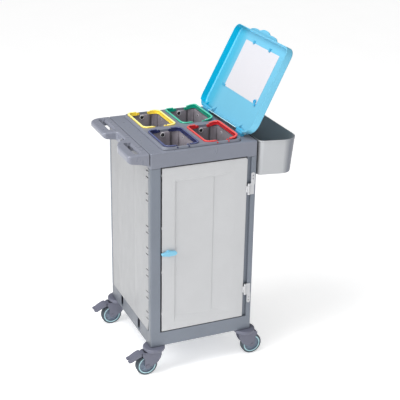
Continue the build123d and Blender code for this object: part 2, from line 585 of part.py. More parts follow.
with BuildPart() as tray_brackets:
    for y in (110.0, 376.0):
        prism_xz([(W, H - 120), (450.76, H - 120), (451.82, H - 22), (W, H - 22)], y - 22, y + 22)
hand_in(tray_brackets.part, "tray_brackets")

# ---------------------------------------------------------------- castors
with BuildPart() as castor_bumpers:
    for cx, cy, _ in CASTORS.values():
        cyl_z(cx, cy, -20, BASE_Z, 45)
    fillet([e for e in castor_bumpers.edges().filter_by(GeomType.CIRCLE)], 5)
    for cx, cy, _ in CASTORS.values():
        cyl_z(cx, cy, -30, 5, STEM_R + 0.05, Mode.SUBTRACT)
hand_in(castor_bumpers.part, "castor_bumpers")

for key, (cx, cy, t) in CASTORS.items():
    ax = cx + t * TRAIL                 # axle's X

    def u(v):
        return cx + t * v

    with BuildPart() as fork:
        # head plate and stem
        cyl_z(cx, cy, -27, -20.6, 33)
        cyl_z(cx, cy, -25, 30, STEM_R)
        # hood over the wheel
        prism_xz([(u(-28), -24), (u(50), -24), (u(55), -30), (u(55), -37.5), (u(-24), -37.5), (u(-28), -30)], cy - 19.5, cy + 19.5)
        # cheeks down to the axle
        for y1, y2 in ((cy - 19.5, cy - 15), (cy + 15, cy + 19.5)):
            prism_xz([(u(-28), -30), (u(55), -30), (u(53), -40), (u(46), -56), (u(46), -84), (u(40), -98), (u(28), -97), (u(18), -90), (u(-2), -82),
                      (u(-12), -74), (u(-22), -58), (u(-27), -44)], y1, y2)
            fillet([e for e in fork.edges().filter_by(Axis.Y)
                    if e.center().Z - Z0 < -50 and y1 - 1 < e.center().Y - Y0 < y2 + 1], 4)
        # room for the brake pedal's root at the back of the hood
        if t < 0:
            block(min(u(38), u(57)), max(u(38), u(57)), cy - 15, cy + 15, -38.5, -23.5, Mode.SUBTRACT)
            cyl_y(u(PEDAL_V), PEDAL_Z, cy - 25, cy + 25, PEG_R + 0.02, Mode.SUBTRACT)
        cyl_y(ax, AXLE_Z, cy - 25, cy + 25, 4.02, Mode.SUBTRACT)
    hand_in(fork.part, f"fork_{key}")

    with BuildPart() as axle:
        cyl_y(ax, AXLE_Z, cy - 20.5, cy + 20.5, 4)
        cyl_y(ax, AXLE_Z, cy - 21.7, cy - 19.5, 6.5)
        cyl_y(ax, AXLE_Z, cy + 19.5, cy + 21.7, 6.5)
        if t < 0:
            cyl_y(u(PEDAL_V), PEDAL_Z, cy - 20.3, cy + 20.3, PEG_R)
    hand_in(axle.part, f"axle_{key}")

    with BuildPart() as rim:
        cyl_y(ax, AXLE_Z, cy - 12, cy + 12, 37)
        for y1, y2 in ((cy - 13, cy - 7), (cy + 7, cy + 13)):
            cyl_y(ax, AXLE_Z, y1, y2, 31.5, Mode.SUBTRACT)
        cyl_y(ax, AXLE_Z, cy - 13.5, cy + 13.5, 11)
        for k in range(6):
            a = math.radians(60 * k + 30)
            for y1, y2 in ((cy - 9, cy - 6), (cy + 6, cy + 9)):
                cyl_y(ax + 20.5 * math.cos(a), AXLE_Z + 20.5 * math.sin(a), y1, y2, 5.5, Mode.SUBTRACT)
        cyl_y(ax, AXLE_Z, cy - 20, cy + 20, 4.06, Mode.SUBTRACT)
    hand_in(rim.part, f"rim_{key}")

    with BuildPart() as tyre:
        cyl_y(ax, AXLE_Z, cy - WHEEL_W / 2, cy + WHEEL_W / 2, WHEEL_R)
        fillet(tyre.edges().filter_by(GeomType.CIRCLE), 6)
        cyl_y(ax, AXLE_Z, cy - 20, cy + 20, 37.02, Mode.SUBTRACT)
    hand_in(tyre.part, f"tyre_{key}")

    if t < 0:
        with BuildPart() as pedal:
            cyl_y(u(PEDAL_V), PEDAL_Z, cy - 14.6, cy + 14.6, 6)
            prism_xz([(u(46), -25.1), (u(62), -25), (u(80), -32), (u(80), -44), (u(66), -39), (u(46), -36.9)], cy - 14.6, cy + 14.6)
            prism_xz([(u(60), -24.2), (u(72), -27), (u(88), -35), (u(101), -43.5), (u(111), -47.5), (u(115.5), -49.5), (u(114), -54.5),
                      (u(103), -56.5), (u(92), -51.5), (u(80), -44.5), (u(68), -39.5), (u(60), -38)], cy - 20, cy + 20)
            # forked toe
            with BuildSketch(xy(-70)):
                with Locations((u(116), cy)):
                    RectangleRounded(26, 13, 6)
            extrude(amount=45, mode=Mode.SUBTRACT)
            fillet([e for e in pedal.edges().filter_by(Axis.Y)
                    if abs(e.center().X - X0 - u(88)) < 0.5 or abs(e.center().X - X0 - u(72)) < 0.5], 5)
            cyl_y(u(PEDAL_V), PEDAL_Z, cy - 25, cy + 25, PEG_R + 0.05, Mode.SUBTRACT)
        hand_in(pedal.part, f"pedal_{key}")
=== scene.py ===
import bpy
import bmesh
import math
import random
from mathutils import Matrix, Vector


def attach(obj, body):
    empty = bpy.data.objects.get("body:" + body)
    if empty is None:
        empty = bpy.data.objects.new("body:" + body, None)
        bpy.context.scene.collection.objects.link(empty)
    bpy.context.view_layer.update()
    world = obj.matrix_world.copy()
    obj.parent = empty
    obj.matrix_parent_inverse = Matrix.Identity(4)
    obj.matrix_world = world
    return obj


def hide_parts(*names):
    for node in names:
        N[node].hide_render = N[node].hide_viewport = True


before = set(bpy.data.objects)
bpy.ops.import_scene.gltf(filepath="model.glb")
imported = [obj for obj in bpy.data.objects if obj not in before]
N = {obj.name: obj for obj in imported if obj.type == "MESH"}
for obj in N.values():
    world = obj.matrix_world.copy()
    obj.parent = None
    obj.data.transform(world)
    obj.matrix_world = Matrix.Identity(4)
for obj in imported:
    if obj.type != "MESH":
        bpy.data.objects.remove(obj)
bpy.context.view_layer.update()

# ------------------------------------------------------------------ carcass frame (mm) to row frame (m)
X0 = 1000 * min(v.co.x for v in N["base_frame"].data.vertices)     # the base tray's left face
Y0, Z0 = -243.0, 131.0
W, D, H = 444.0, 486.0, 826.0


def P(x, y, z):
    return Vector(((X0 + x) / 1000, (Y0 + y) / 1000, (Z0 + z) / 1000))


def lin(r, g, b):
    """sRGB 0-255 to linear."""
    def f(c):
        c /= 255.0
        return c / 12.92 if c <= 0.04045 else ((c + 0.055) / 1.055) ** 2.4
    return (f(r), f(g), f(b), 1.0)


# ------------------------------------------------------------------ materials
class Mat:
    def __init__(self, name):
        self.m = bpy.data.materials.new(name)
        self.m.use_nodes = True
        self.t = self.m.node_tree
        self.t.nodes.clear()
        self.out = self.n("ShaderNodeOutputMaterial")
        self.b = self.n("ShaderNodeBsdfPrincipled")
        self.t.links.new(self.b.outputs["BSDF"], self.out.inputs["Surface"])
        self.co = self.n("ShaderNodeTexCoord").outputs["Object"]

    def n(self, kind, **props):
        node = self.t.nodes.new(kind)
        for k, v in props.items():
            setattr(node, k, v)
        return node

    def link(self, a, b):
        self.t.links.new(a, b)

    def noise(self, scale, detail=3.0, rough=0.55, vec=None, stretch=None):
        t = self.n("ShaderNodeTexNoise")
        t.inputs["Scale"].default_value = scale
        t.inputs["Detail"].default_value = detail
        t.inputs["Roughness"].default_value = rough
        src = vec or self.co
        if stretch:
            mp = self.n("ShaderNodeMapping")
            mp.inputs["Scale"].default_value = stretch
            self.link(src, mp.inputs["Vector"])
            src = mp.outputs["Vector"]
        self.link(src, t.inputs["Vector"])
        return t.outputs["Fac"]

    def ramp(self, fac, lo, hi, a, b):
        r = self.n("ShaderNodeMapRange")
        r.inputs["From Min"].default_value = lo
        r.inputs["From Max"].default_value = hi
        r.inputs["To Min"].default_value = a
        r.inputs["To Max"].default_value = b
        self.link(fac, r.inputs["Value"])
        return r.outputs["Result"]

    def mix(self, fac, a, b, blend="MIX"):
        m = self.n("ShaderNodeMix", data_type="RGBA", blend_type=blend)
        for sock, v in ((m.inputs[0], fac), (m.inputs[6], a), (m.inputs[7], b)):
            if isinstance(v, (int, float, tuple, list)):
                sock.default_value = v
            else:
                self.link(v, sock)
        return m.outputs[2]

    def math(self, op, a, b=None, c=None):
        m = self.n("ShaderNodeMath", operation=op)
        for i, v in enumerate((a, b, c)):
            if v is None:
                continue
            if isinstance(v, (int, float)):
                m.inputs[i].default_value = v
            else:
                self.link(v, m.inputs[i])
        return m.outputs[0]

    def bump(self, height, strength, dist, normal=None):
        b = self.n("ShaderNodeBump")
        b.inputs["Strength"].default_value = strength
        b.inputs["Distance"].default_value = dist
        self.link(height, b.inputs["Height"])
        if normal is not None:
            self.link(normal, b.inputs["Normal"])
        return b.outputs["Normal"]

    def crevice_shade(self, colour, dist, dark, lo=0.12, hi=0.72):
        """Painted shade: darkens the colour by ambient occlusion in joints, slots and inner corners, where shade falls.
        """
        ao = self.n("ShaderNodeAmbientOcclusion")
        ao.samples = 10
        ao.inputs["Distance"].default_value = dist
        f = self.ramp(ao.outputs["AO"], lo, hi, 1.0, 0.0)
        return self.mix(f, colour, self.mix(1.0, colour, (dark, dark, dark * 1.06, 1.0), "MULTIPLY"))

    def facet(self):
        """Flat face normal in the piece's own axes, so that it turns with the piece."""
        geo = self.n("ShaderNodeNewGeometry")
        vt = self.n("ShaderNodeVectorTransform", vector_type="NORMAL", convert_from="WORLD", convert_to="OBJECT")
        self.link(geo.outputs["True Normal"], vt.inputs[0])
        sep = self.n("ShaderNodeSeparateXYZ")
        self.link(vt.outputs[0], sep.inputs[0])
        return sep.outputs

    def edge(self, radius=0.0012):
        b = self.n("ShaderNodeBevel")
        b.samples = 6
        b.inputs["Radius"].default_value = radius
        return b.outputs["Normal"]


def plastic(name, col, rough=0.42, var=0.05, grain=900.0, grain_h=0.00004, edge=0.0012, spec=0.5, coat=0.0, sss=0.0, dust=0.03, crevice_shade=None, end=None, west_shade=None, wear=1.0):
    """Moulded plastic: mottled colour, fine spark-eroded grain, faint scuffs in the gloss; options add painted shade in
    crevices, on faces turned to +X and on faces turned to -X.
    """
    m = Mat(name)
    big = m.noise(7.0, 4.0, 0.6)
    dark = tuple(c * (1 - var) for c in col[:3]) + (1.0,)
    light = tuple(min(1.0, c * (1 + var)) for c in col[:3]) + (1.0,)
    c = m.mix(m.ramp(big, 0.35, 0.65, 0.0, 1.0), dark, light)
    if dust:
        fine = m.noise(160.0, 5.0, 0.7)
        c = m.mix(m.ramp(fine, 0.55, 0.8, 0.0, dust), c, tuple(min(1.0, x * 1.25 + 0.03) for x in col[:3]) + (1.0,))
    # painted shade: colour darkened by ambient occlusion in joints, slots and inner corners
    if crevice_shade:
        c = m.crevice_shade(c, *crevice_shade)
    if end:                                 # painted shade: darker on faces turned to +X, the outer end away from the light
        c = m.mix(m.ramp(m.facet()["X"], 0.02, 0.44, 0.0, 1.0), c, m.mix(1.0, c, tuple(end) + (1.0,), "MULTIPLY"))
    if west_shade:                                # painted shade: darker on faces turned to -X, the side under the handle
        c = m.mix(m.ramp(m.facet()["X"], -0.4, -0.85, 0.0, 1.0), c, m.mix(1.0, c, tuple(west_shade) + (1.0,), "MULTIPLY"))
    m.link(c, m.b.inputs["Base Color"])
    scuff = m.noise(38.0, 6.0, 0.7, stretch=(1.0, 1.0, 0.35))
    m.link(m.ramp(scuff, 0.3, 0.75, rough - 0.07 * wear, rough + 0.1 * wear), m.b.inputs["Roughness"])
    m.b.inputs["Specular IOR Level"].default_value = spec
    m.b.inputs["Coat Weight"].default_value = coat
    if sss:
        m.b.inputs["Subsurface Weight"].default_value = sss
        m.b.inputs["Subsurface Radius"].default_value = (0.01, 0.01, 0.01)
        m.b.inputs["Subsurface Scale"].default_value = 0.3
    g = m.noise(grain, 2.0, 0.5)
    n = m.edge(edge) if edge else None
    m.link(m.bump(g, 0.35, grain_h, n), m.b.inputs["Normal"])
    return m


def metal(name, col, rough=0.3):
    m = Mat(name)
    s = m.noise(400.0, 4.0, 0.6, stretch=(1.0, 1.0, 0.1))
    c = m.mix(m.ramp(s, 0.3, 0.7, 0.0, 1.0), tuple(x * 0.85 for x in col[:3]) + (1.0,), col)
    m.link(c, m.b.inputs["Base Color"])
    m.b.inputs["Metallic"].default_value = 1.0
    m.link(m.ramp(s, 0.2, 0.8, rough - 0.08, rough + 0.12), m.b.inputs["Roughness"])
    m.link(m.bump(s, 0.2, 0.00003), m.b.inputs["Normal"])
    return m


FRAME = plastic("frame_grey_plastic", lin(113, 120, 131), rough=0.40, var=0.035, crevice_shade=(0.03, 0.16, 0.04, 0.40))
# base and front-left post: painted shade on their faces turned to -X
BASE = plastic("base_grey_plastic", lin(113, 120, 131), rough=0.40, var=0.035, crevice_shade=(0.03, 0.16, 0.04, 0.40), west_shade=(0.72, 0.70, 0.69))
SEAM = plastic("front_post_plastic", lin(113, 120, 131), rough=0.40, var=0.035, crevice_shade=(0.022, 0.22, 0.12, 0.72), west_shade=(0.76, 0.77, 0.76))
GRIP = plastic("handle_grey_plastic", lin(124, 127, 139), rough=0.28, var=0.015, grain_h=0.00001, dust=0.0, crevice_shade=(0.05, 0.08, 0.12, 0.58), wear=0.25)
# painted light: the top frame and deck take a slightly lighter copy of the frame grey, for the light falling on them
# from above
TOP = plastic("top_grey_plastic", lin(120, 124, 136), rough=0.32, var=0.03, edge=0.0014, crevice_shade=(0.03, 0.16, 0.04, 0.40))
# painted shade: the side and back panels and tray brackets take a darker copy of the door's grey, offsetting the
# stronger light on the sides
PANEL = plastic("panel_grey_plastic", lin(149, 150, 152), rough=0.42, var=0.02, grain=700.0, dust=0.02, crevice_shade=(0.018, 0.22, 0.10, 0.60))
DOOR = plastic("door_grey_plastic", lin(187, 188, 190), rough=0.42, var=0.02, grain=700.0, dust=0.02, crevice_shade=(0.03, 0.16, 0.04, 0.40))
# painted shade on the tray's faces turned to +X
TRAY = plastic("tray_grey_plastic", lin(181, 183, 186), rough=0.45, var=0.02, grain=700.0, dust=0.02, crevice_shade=(0.16, 0.10, 0.12, 0.80), end=(0.42, 0.44, 0.50))
STRAP = plastic("strap_plastic", lin(191, 192, 195), rough=0.4, var=0.02, dust=0.0, crevice_shade=(0.008, 0.25))
CASTOR = plastic("castor_plastic", lin(101, 103, 118), rough=0.45, var=0.05, dust=0.06, crevice_shade=(0.02, 0.40))
CYAN = plastic("lid_cyan_plastic", lin(66, 164, 204), rough=0.32, var=0.03, grain=500.0, grain_h=0.00002, dust=0.01)
CLIP = plastic("clip_teal_plastic", lin(60, 150, 186), rough=0.34, var=0.04, dust=0.0)
LATCH = plastic("latch_cyan_plastic", lin(122, 186, 213), rough=0.3, var=0.03, dust=0.0)


def lid_plastic(name, face, deep):
    """Lid plastic: pale on the flat panel; deeper and more saturated on the inside of the far flange, painted shade on
    that face, which is turned away from the light.
    """
    m = Mat(name)
    big = m.noise(5.0, 4.0, 0.6)
    pale = m.mix(m.ramp(big, 0.3, 0.7, 0.0, 1.0), tuple(c * 0.97 for c in face[:3]) + (1.0,), face)
    sat = m.mix(m.ramp(big, 0.3, 0.7, 0.0, 1.0), tuple(c * 0.92 for c in deep[:3]) + (1.0,), deep)
    side = m.facet()
    ny = side["Y"]
    pos = m.n("ShaderNodeSeparateXYZ")
    m.link(m.co, pos.inputs[0])
    facing = m.ramp(ny, -0.70, -0.80, 0.0, 1.0)
    far = m.ramp(pos.outputs["Y"], P(0, 425, 0).y, P(0, 445, 0).y, 0.0, 1.0)
    near = m.ramp(pos.outputs["Y"], P(0, 60, 0).y, P(0, 40, 0).y, 0.0, 1.0)
    # painted light: faces turned to -Y near the front, the outer face of the near flange, are lightened to match the
    # panel beside them
    toned = m.mix(m.math("MULTIPLY", facing, near), pale, tuple(min(1.0, c * 1.32) for c in face[:3]) + (1.0,))
    # painted light: a little paler towards the grip edge, lifting the shadow cast there by the end wall
    axis = P(414, 0, H + 17.4)
    dx, dz = m.math("SUBTRACT", pos.outputs["X"], axis.x), m.math("SUBTRACT", pos.outputs["Z"], axis.z)
    along = m.math("ADD", m.math("MULTIPLY", dx, 0.4524), m.math("MULTIPLY", dz, 0.8918))
    toned = m.mix(m.ramp(along, 0.29, 0.36, 0.0, 1.0), toned, tuple(min(1.0, c * 1.07) for c in face[:3]) + (1.0,))
    # painted light: the inner face of the thin end wall at the grip edge is brightened, lifting the shade that falls on
    # it
    inward = m.math("ADD", m.math("MULTIPLY", side["X"], -0.4524), m.math("MULTIPLY", side["Z"], -0.8918))
    toned = m.mix(m.math("MULTIPLY", m.ramp(inward, 0.35, 0.75, 0.0, 1.0), m.ramp(along, 0.32, 0.35, 0.0, 1.0)), toned, tuple(min(1.0, c * 1.6) for c in face[:3]) + (1.0,))
    # painted shade: the panel darkens and deepens in a band along the far flange, which shades it
    band = m.ramp(pos.outputs["Y"], P(0, 385, 0).y, P(0, 435, 0).y, 0.0, 1.0)
    toned = m.mix(band, toned, (face[0] * 0.48, face[1] * 0.88, face[2] * 0.91, 1.0))
    c = m.mix(m.math("MULTIPLY", facing, far), toned, sat)
    # painted highlight: a bright line where the thin bevelled inner corner meets the flange
    bevel_highlight = m.math("MULTIPLY", m.ramp(ny, -0.30, -0.40, 0.0, 1.0), m.ramp(ny, -0.78, -0.70, 0.0, 1.0))
    c = m.mix(m.math("MULTIPLY", bevel_highlight, far), c, lin(72, 178, 210))
    # painted highlight: a pale line along the edge of the rim at the hinge, where its thickness catches the light
    out = m.math("SUBTRACT", m.math("MULTIPLY", dz, 0.4524), m.math("MULTIPLY", dx, 0.8918))
    rim_highlight = m.math("MULTIPLY", m.ramp(out, 0.0108, 0.0118, 0.0, 1.0), m.ramp(along, 0.030, 0.020, 0.0, 1.0))
    rim_highlight = m.math("MULTIPLY", rim_highlight, m.math("MULTIPLY", m.ramp(pos.outputs["Y"], P(0, 62, 0).y, P(0, 72, 0).y, 0.0, 1.0), m.ramp(pos.outputs["Y"], P(0, 434, 0).y, P(0, 424, 0).y, 0.0, 1.0)))
    c = m.mix(rim_highlight, c, lin(180, 218, 230))
    m.link(c, m.b.inputs["Base Color"])
    scuff = m.noise(38.0, 6.0, 0.7, stretch=(1.0, 1.0, 0.35))
    m.link(m.ramp(scuff, 0.3, 0.75, 0.28, 0.42), m.b.inputs["Roughness"])
    m.b.inputs["Specular IOR Level"].default_value = 0.3
    g = m.noise(500.0, 2.0, 0.5)
    m.link(m.bump(g, 0.35, 0.00002, m.edge(0.0015)), m.b.inputs["Normal"])
    return m


def peg_plastic(name):
    """Peg ends in the colour of the ring they carry."""
    m = Mat(name)
    pos = m.n("ShaderNodeSeparateXYZ")
    m.link(m.co, pos.inputs[0])
    right = m.ramp(pos.outputs["X"], P(221, 0, 0).x, P(223, 0, 0).x, 0.0, 1.0)
    back = m.ramp(pos.outputs["Y"], P(0, 242, 0).y, P(0, 244, 0).y, 0.0, 1.0)
    front_row = m.mix(right, lin(46, 50, 92), lin(196, 44, 52))
    back_row = m.mix(right, lin(236, 200, 60), lin(20, 140, 112))
    v = m.noise(220.0, 4.0, 0.6)
    c = m.mix(m.ramp(v, 0.3, 0.7, 0.0, 0.16), m.mix(back, front_row, back_row), lin(40, 40, 46))
    m.link(c, m.b.inputs["Base Color"])
    m.link(m.ramp(v, 0.3, 0.7, 0.3, 0.45), m.b.inputs["Roughness"])
    m.link(m.bump(v, 0.3, 0.00005, m.edge(0.0006)), m.b.inputs["Normal"])
    return m


DARK = plastic("dark_plastic", lin(52, 52, 58), rough=0.4, var=0.06)
PEG = peg_plastic("peg_plastic")
LID = lid_plastic("lid_panel_plastic", lin(103, 172, 199), lin(0, 186, 222))
CARD = plastic("card_white", lin(195, 194, 199), rough=0.6, var=0.006, grain=1500.0, edge=0, dust=0.0)
STEEL = metal("turned_steel", lin(205, 207, 210))


def ring_plastic(name, sat, pale):
    """Glossy ring plastic, paler on upward faces: a painted highlight for the light from above."""
    m = Mat(name)
    v = m.noise(40.0, 4.0, 0.6)
    top_highlight = m.ramp(m.facet()["Z"], 0.25, 0.9, 0.0, 1.0)
    deep = m.mix(m.ramp(v, 0.3, 0.7, 0.0, 1.0), tuple(c * 0.95 for c in sat[:3]) + (1.0,), sat)
    c = m.mix(top_highlight, deep, pale)
    m.link(c, m.b.inputs["Base Color"])
    scuff = m.noise(60.0, 6.0, 0.7)
    m.link(m.ramp(scuff, 0.3, 0.75, 0.16, 0.30), m.b.inputs["Roughness"])
    m.b.inputs["Coat Weight"].default_value = 0.35
    m.b.inputs["Coat Roughness"].default_value = 0.12
    m.b.inputs["Subsurface Weight"].default_value = 0.12
    m.b.inputs["Subsurface Radius"].default_value = (0.01, 0.01, 0.01)
    m.b.inputs["Subsurface Scale"].default_value = 0.3
    g = m.noise(700.0, 2.0, 0.5)
    m.link(m.bump(g, 0.2, 0.00002, m.edge(0.0008)), m.b.inputs["Normal"])
    return m


# second colour of each ring: the painted highlight tone of its upward faces
RING = {
    "yellow": ring_plastic("ring_yellow_plastic", lin(255, 220, 72), lin(255, 245, 160)),
    "green": ring_plastic("ring_green_plastic", lin(2, 150, 122), lin(92, 196, 168)),
    "blue": ring_plastic("ring_blue_plastic", lin(36, 42, 84), lin(84, 92, 132)),
    "red": ring_plastic("ring_red_plastic", lin(196, 38, 44), lin(222, 88, 82)),
}


def rubber(name, centre):
    m = Mat(name)
    big = m.noise(30.0, 4.0, 0.6)
    c = m.mix(m.ramp(big, 0.3, 0.7, 0.0, 1.0), lin(58, 68, 76), lin(74, 84, 92))
    m.link(c, m.b.inputs["Base Color"])
    m.link(m.ramp(big, 0.3, 0.7, 0.62, 0.8), m.b.inputs["Roughness"])
    g = m.noise(1300.0, 3.0, 0.6)
    m.link(m.bump(g, 0.5, 0.00008), m.b.inputs["Normal"])
    return m


def rim_mat(name, centre):
    """Wheel disc: grey-blue hub, light teal ring near the tyre."""
    m = Mat(name)
    sub = m.n("ShaderNodeVectorMath", operation="SUBTRACT")
    m.link(m.co, sub.inputs[0])
    sub.inputs[1].default_value = centre
    flat = m.n("ShaderNodeVectorMath", operation="MULTIPLY")
    m.link(sub.outputs[0], flat.inputs[0])
    flat.inputs[1].default_value = (1.0, 0.0, 1.0)
    ln = m.n("ShaderNodeVectorMath", operation="LENGTH")
    m.link(flat.outputs[0], ln.inputs[0])
    r = ln.outputs["Value"]
    edge = m.ramp(r, 0.0322, 0.0327, 0.0, 1.0)
    v = m.noise(60.0, 4.0, 0.6)
    hub = m.mix(m.ramp(v, 0.3, 0.7, 0.0, 1.0), lin(98, 112, 130), lin(116, 129, 146))
    teal = m.mix(m.ramp(v, 0.3, 0.7, 0.0, 1.0), lin(160, 203, 211), lin(185, 219, 225))
    m.link(m.mix(edge, hub, teal), m.b.inputs["Base Color"])
    m.link(m.ramp(v, 0.3, 0.7, 0.34, 0.5), m.b.inputs["Roughness"])
    g = m.noise(900.0, 2.0, 0.5)
    m.link(m.bump(g, 0.3, 0.00004, m.edge(0.0008)), m.b.inputs["Normal"])
    return m


def cloth(name, painted_light_scale=1.0):
    """Coated bag cloth: plain weave, slightly shiny, with painted shade in its creases."""
    m = Mat(name)
    big = m.noise(18.0, 5.0, 0.65)
    # per-bag scale: painted light and shade for the light falling into each opening
    c = m.mix(m.ramp(big, 0.3, 0.7, 0.0, 1.0), tuple(x * painted_light_scale for x in lin(128, 122, 130)[:3]) + (1.0,), tuple(x * painted_light_scale for x in lin(162, 155, 164)[:3]) + (1.0,))
    wx = m.n("ShaderNodeTexWave", wave_type="BANDS", bands_direction="X")
    wz = m.n("ShaderNodeTexWave", wave_type="BANDS", bands_direction="Z")
    wy = m.n("ShaderNodeTexWave", wave_type="BANDS", bands_direction="Y")
    for w in (wx, wy, wz):
        w.inputs["Scale"].default_value = 220.0
        w.inputs["Distortion"].default_value = 0.6
        m.link(m.co, w.inputs["Vector"])
    weave = m.math("MULTIPLY", m.math("MAXIMUM", wx.outputs["Fac"], wy.outputs["Fac"]), wz.outputs["Fac"])
    c = m.mix(m.ramp(weave, 0.0, 1.0, 0.25, 0.0), c, lin(90, 87, 93))
    # painted shade: darkened where the mesh's crease attribute marks the inside of pleats and seams
    fold_shade = m.n("ShaderNodeAttribute", attribute_name="fold_shade")
    c = m.mix(fold_shade.outputs["Fac"], c, lin(34, 32, 38))
    m.link(c, m.b.inputs["Base Color"])
    m.link(m.ramp(big, 0.3, 0.7, 0.5, 0.72), m.b.inputs["Roughness"])
    m.b.inputs["Sheen Weight"].default_value = 0.15
    m.link(m.bump(weave, 0.4, 0.0002), m.b.inputs["Normal"])
    return m


# painted light and shade: each bag's cloth is made lighter (front-left) or darker (right column) for the light reaching
# into its opening
CLOTH = {"yellow": cloth("bag_cloth_a", 0.92), "green": cloth("bag_cloth_b", 0.86), "blue": cloth("bag_cloth_c", 1.12), "red": cloth("bag_cloth_d", 0.72)}


def put(node, mat):
    o = N[node]
    if o.material_slots:
        for s in o.material_slots:
            s.material = mat.m
    else:
        o.data.materials.append(mat.m)


put("base_frame", BASE)
for n in ("post_front_right", "post_back_left", "post_back_right"):
    put(n, FRAME)
put("post_front_left", SEAM)
for n in ("top_frame", "bag_deck"):
    put(n, TOP)
put("handle_unit", GRIP)
for n in ("left_panel", "right_panel", "back_panel", "tray_brackets"):
    put(n, PANEL)
put("door", DOOR)
put("side_tray", TRAY)
for n in ("strap_upper", "strap_lower"):
    put(n, STRAP)
for n in ("door_hinge_pins", "lid_pins"):
    put(n, STEEL)
for n in ("axle_fl", "axle_fr", "axle_bl", "axle_br", "castor_bumpers", "fork_fl", "fork_fr", "fork_bl", "fork_br", "pedal_fl", "pedal_bl"):
    put(n, CASTOR)
put("lid", LID)
put("lid_brackets", CYAN)
put("card_clips", CLIP)
put("card_knob", CYAN)
for n in ("latch_knob", "latch_rosette"):
    put(n, LATCH)
put("latch_cam", DARK)
put("ring_pins", PEG)
put("card_sheet", CARD)
for c, m in RING.items():
    put(f"ring_{c}_left", m)
    put(f"ring_{c}_right", m)
CAST = {"fl": (20.0, 17.0, -1), "fr": (424.0, 17.0, 1), "bl": (20.0, 469.0, -1), "br": (424.0, 469.0, 1)}
for k, (cx, cy, t) in CAST.items():
    centre = tuple(P(cx + t * 33.5, cy, -86.0))
    put(f"rim_{k}", rim_mat(f"rim_{k}_plastic", centre))
    put(f"tyre_{k}", rubber(f"tyre_{k}_rubber", centre))


# ------------------------------------------------------------------ helpers for new pieces
def mesh_object(name, verts, faces, mat, body, smooth=True):
    me = bpy.data.meshes.new(name)
    me.from_pydata([tuple(v) for v in verts], [], faces)
    me.validate()
    me.update()
    bm = bmesh.new()
    bm.from_mesh(me)
    bmesh.ops.recalc_face_normals(bm, faces=bm.faces)
    bm.to_mesh(me)
    bm.free()
    if smooth:
        me.polygons.foreach_set("use_smooth", [True] * len(me.polygons))
    o = bpy.data.objects.new(name, me)
    bpy.context.scene.collection.objects.link(o)
    me.materials.append(mat.m)
    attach(o, body)
    return o


# ------------------------------------------------------------------ bags
RCX = {"left": 139.5, "right": 304.5}
RCY = {"front": 123.0, "back": 362.5}


def rounded_rect(hx, hy, r, s):
    """Point and outward normal at fraction s of a rounded rectangle's outline, starting in the middle of the +Y side, going to +X."""
    lx, ly, q = 2 * (hx - r), 2 * (hy - r), math.pi * r / 2
    total = 2 * lx + 2 * ly + 4 * q
    d = (s % 1.0) * total
    segs = [("l", lx / 2), ("c", q), ("l", ly), ("c", q), ("l", lx), ("c", q), ("l", ly), ("c", q), ("l", lx / 2)]
    x, y, ang = 0.0, hy, 0.0          # ang: heading, 0 = +X, turning clockwise
    nx, ny = 0.0, 1.0
    for kind, ln in segs:
        step = min(d, ln)
        if kind == "l":
            x += step * math.cos(ang)
            y -= step * math.sin(ang)
        else:
            a2 = ang + step / r
            x += r * (math.sin(a2) - math.sin(ang))
            y += r * (math.cos(a2) - math.cos(ang))
            ang = a2
        d -= step
        if d <= 1e-9:
            break
    return x, y, math.sin(ang), math.cos(ang)


def bag_shape(seed):
    rnd = random.Random(seed)
    waves = [(rnd.randint(5, 19), rnd.uniform(0, 6.28), rnd.uniform(0.5, 1.0), rnd.uniform(-0.6, 0.6)) for _ in range(7)]
    # a deep pleat in the back wall, sewn upright seams in the corners, soft folds elsewhere; negative: the cloth folds outwards
    pleats = [(0.053 + rnd.uniform(-0.004, 0.006), -9.0, 0.0065), (0.1005, -4.5, 0.0030), (-0.085, -5.0, 0.0050),
              (0.30, 4.0, 0.010), (0.40, -4.0, 0.004), (0.50, 5.0, 0.012), (0.62, 4.0, 0.010), (0.80, 5.0, 0.010)]

    def offset(s, h):
        """Outward displacement in mm at outline fraction s and height fraction h (1 at the mouth)."""
        free = min(1.0, (1 - h) * 9.0)
        v = 0.0
        for k, ph, a, drift in waves:
            v += a * math.sin(2 * math.pi * k * s + ph + drift * 6 * (1 - h))
        v *= 0.55 * free
        for c, a, w in pleats:
            dd = (s - c + 0.5) % 1.0 - 0.5
            v -= a * min(1.0, (1 - h) * 16.0 + 0.25) * math.exp(-(dd / w) ** 2)
        v += 2.2 * math.sin(math.pi * min(1.0, (1 - h) * 1.15)) * free
        return v
    return offset


def bag_point(cx, cy, off, s, h, inset=0.0):
    hx = 57.5 + (68.6 - 57.5) * h
    hy = 85.5 + (99.6 - 85.5) * h
    r = 26.0 + (22.5 - 26.0) * h
    x, y, nx, ny = rounded_rect(hx, hy, r, s)
    o = off(s, h) - inset
    z = 152.0 + (H + 1.8 - 152.0) * h
    return P(cx + x + nx * o, cy + y + ny * o, z)


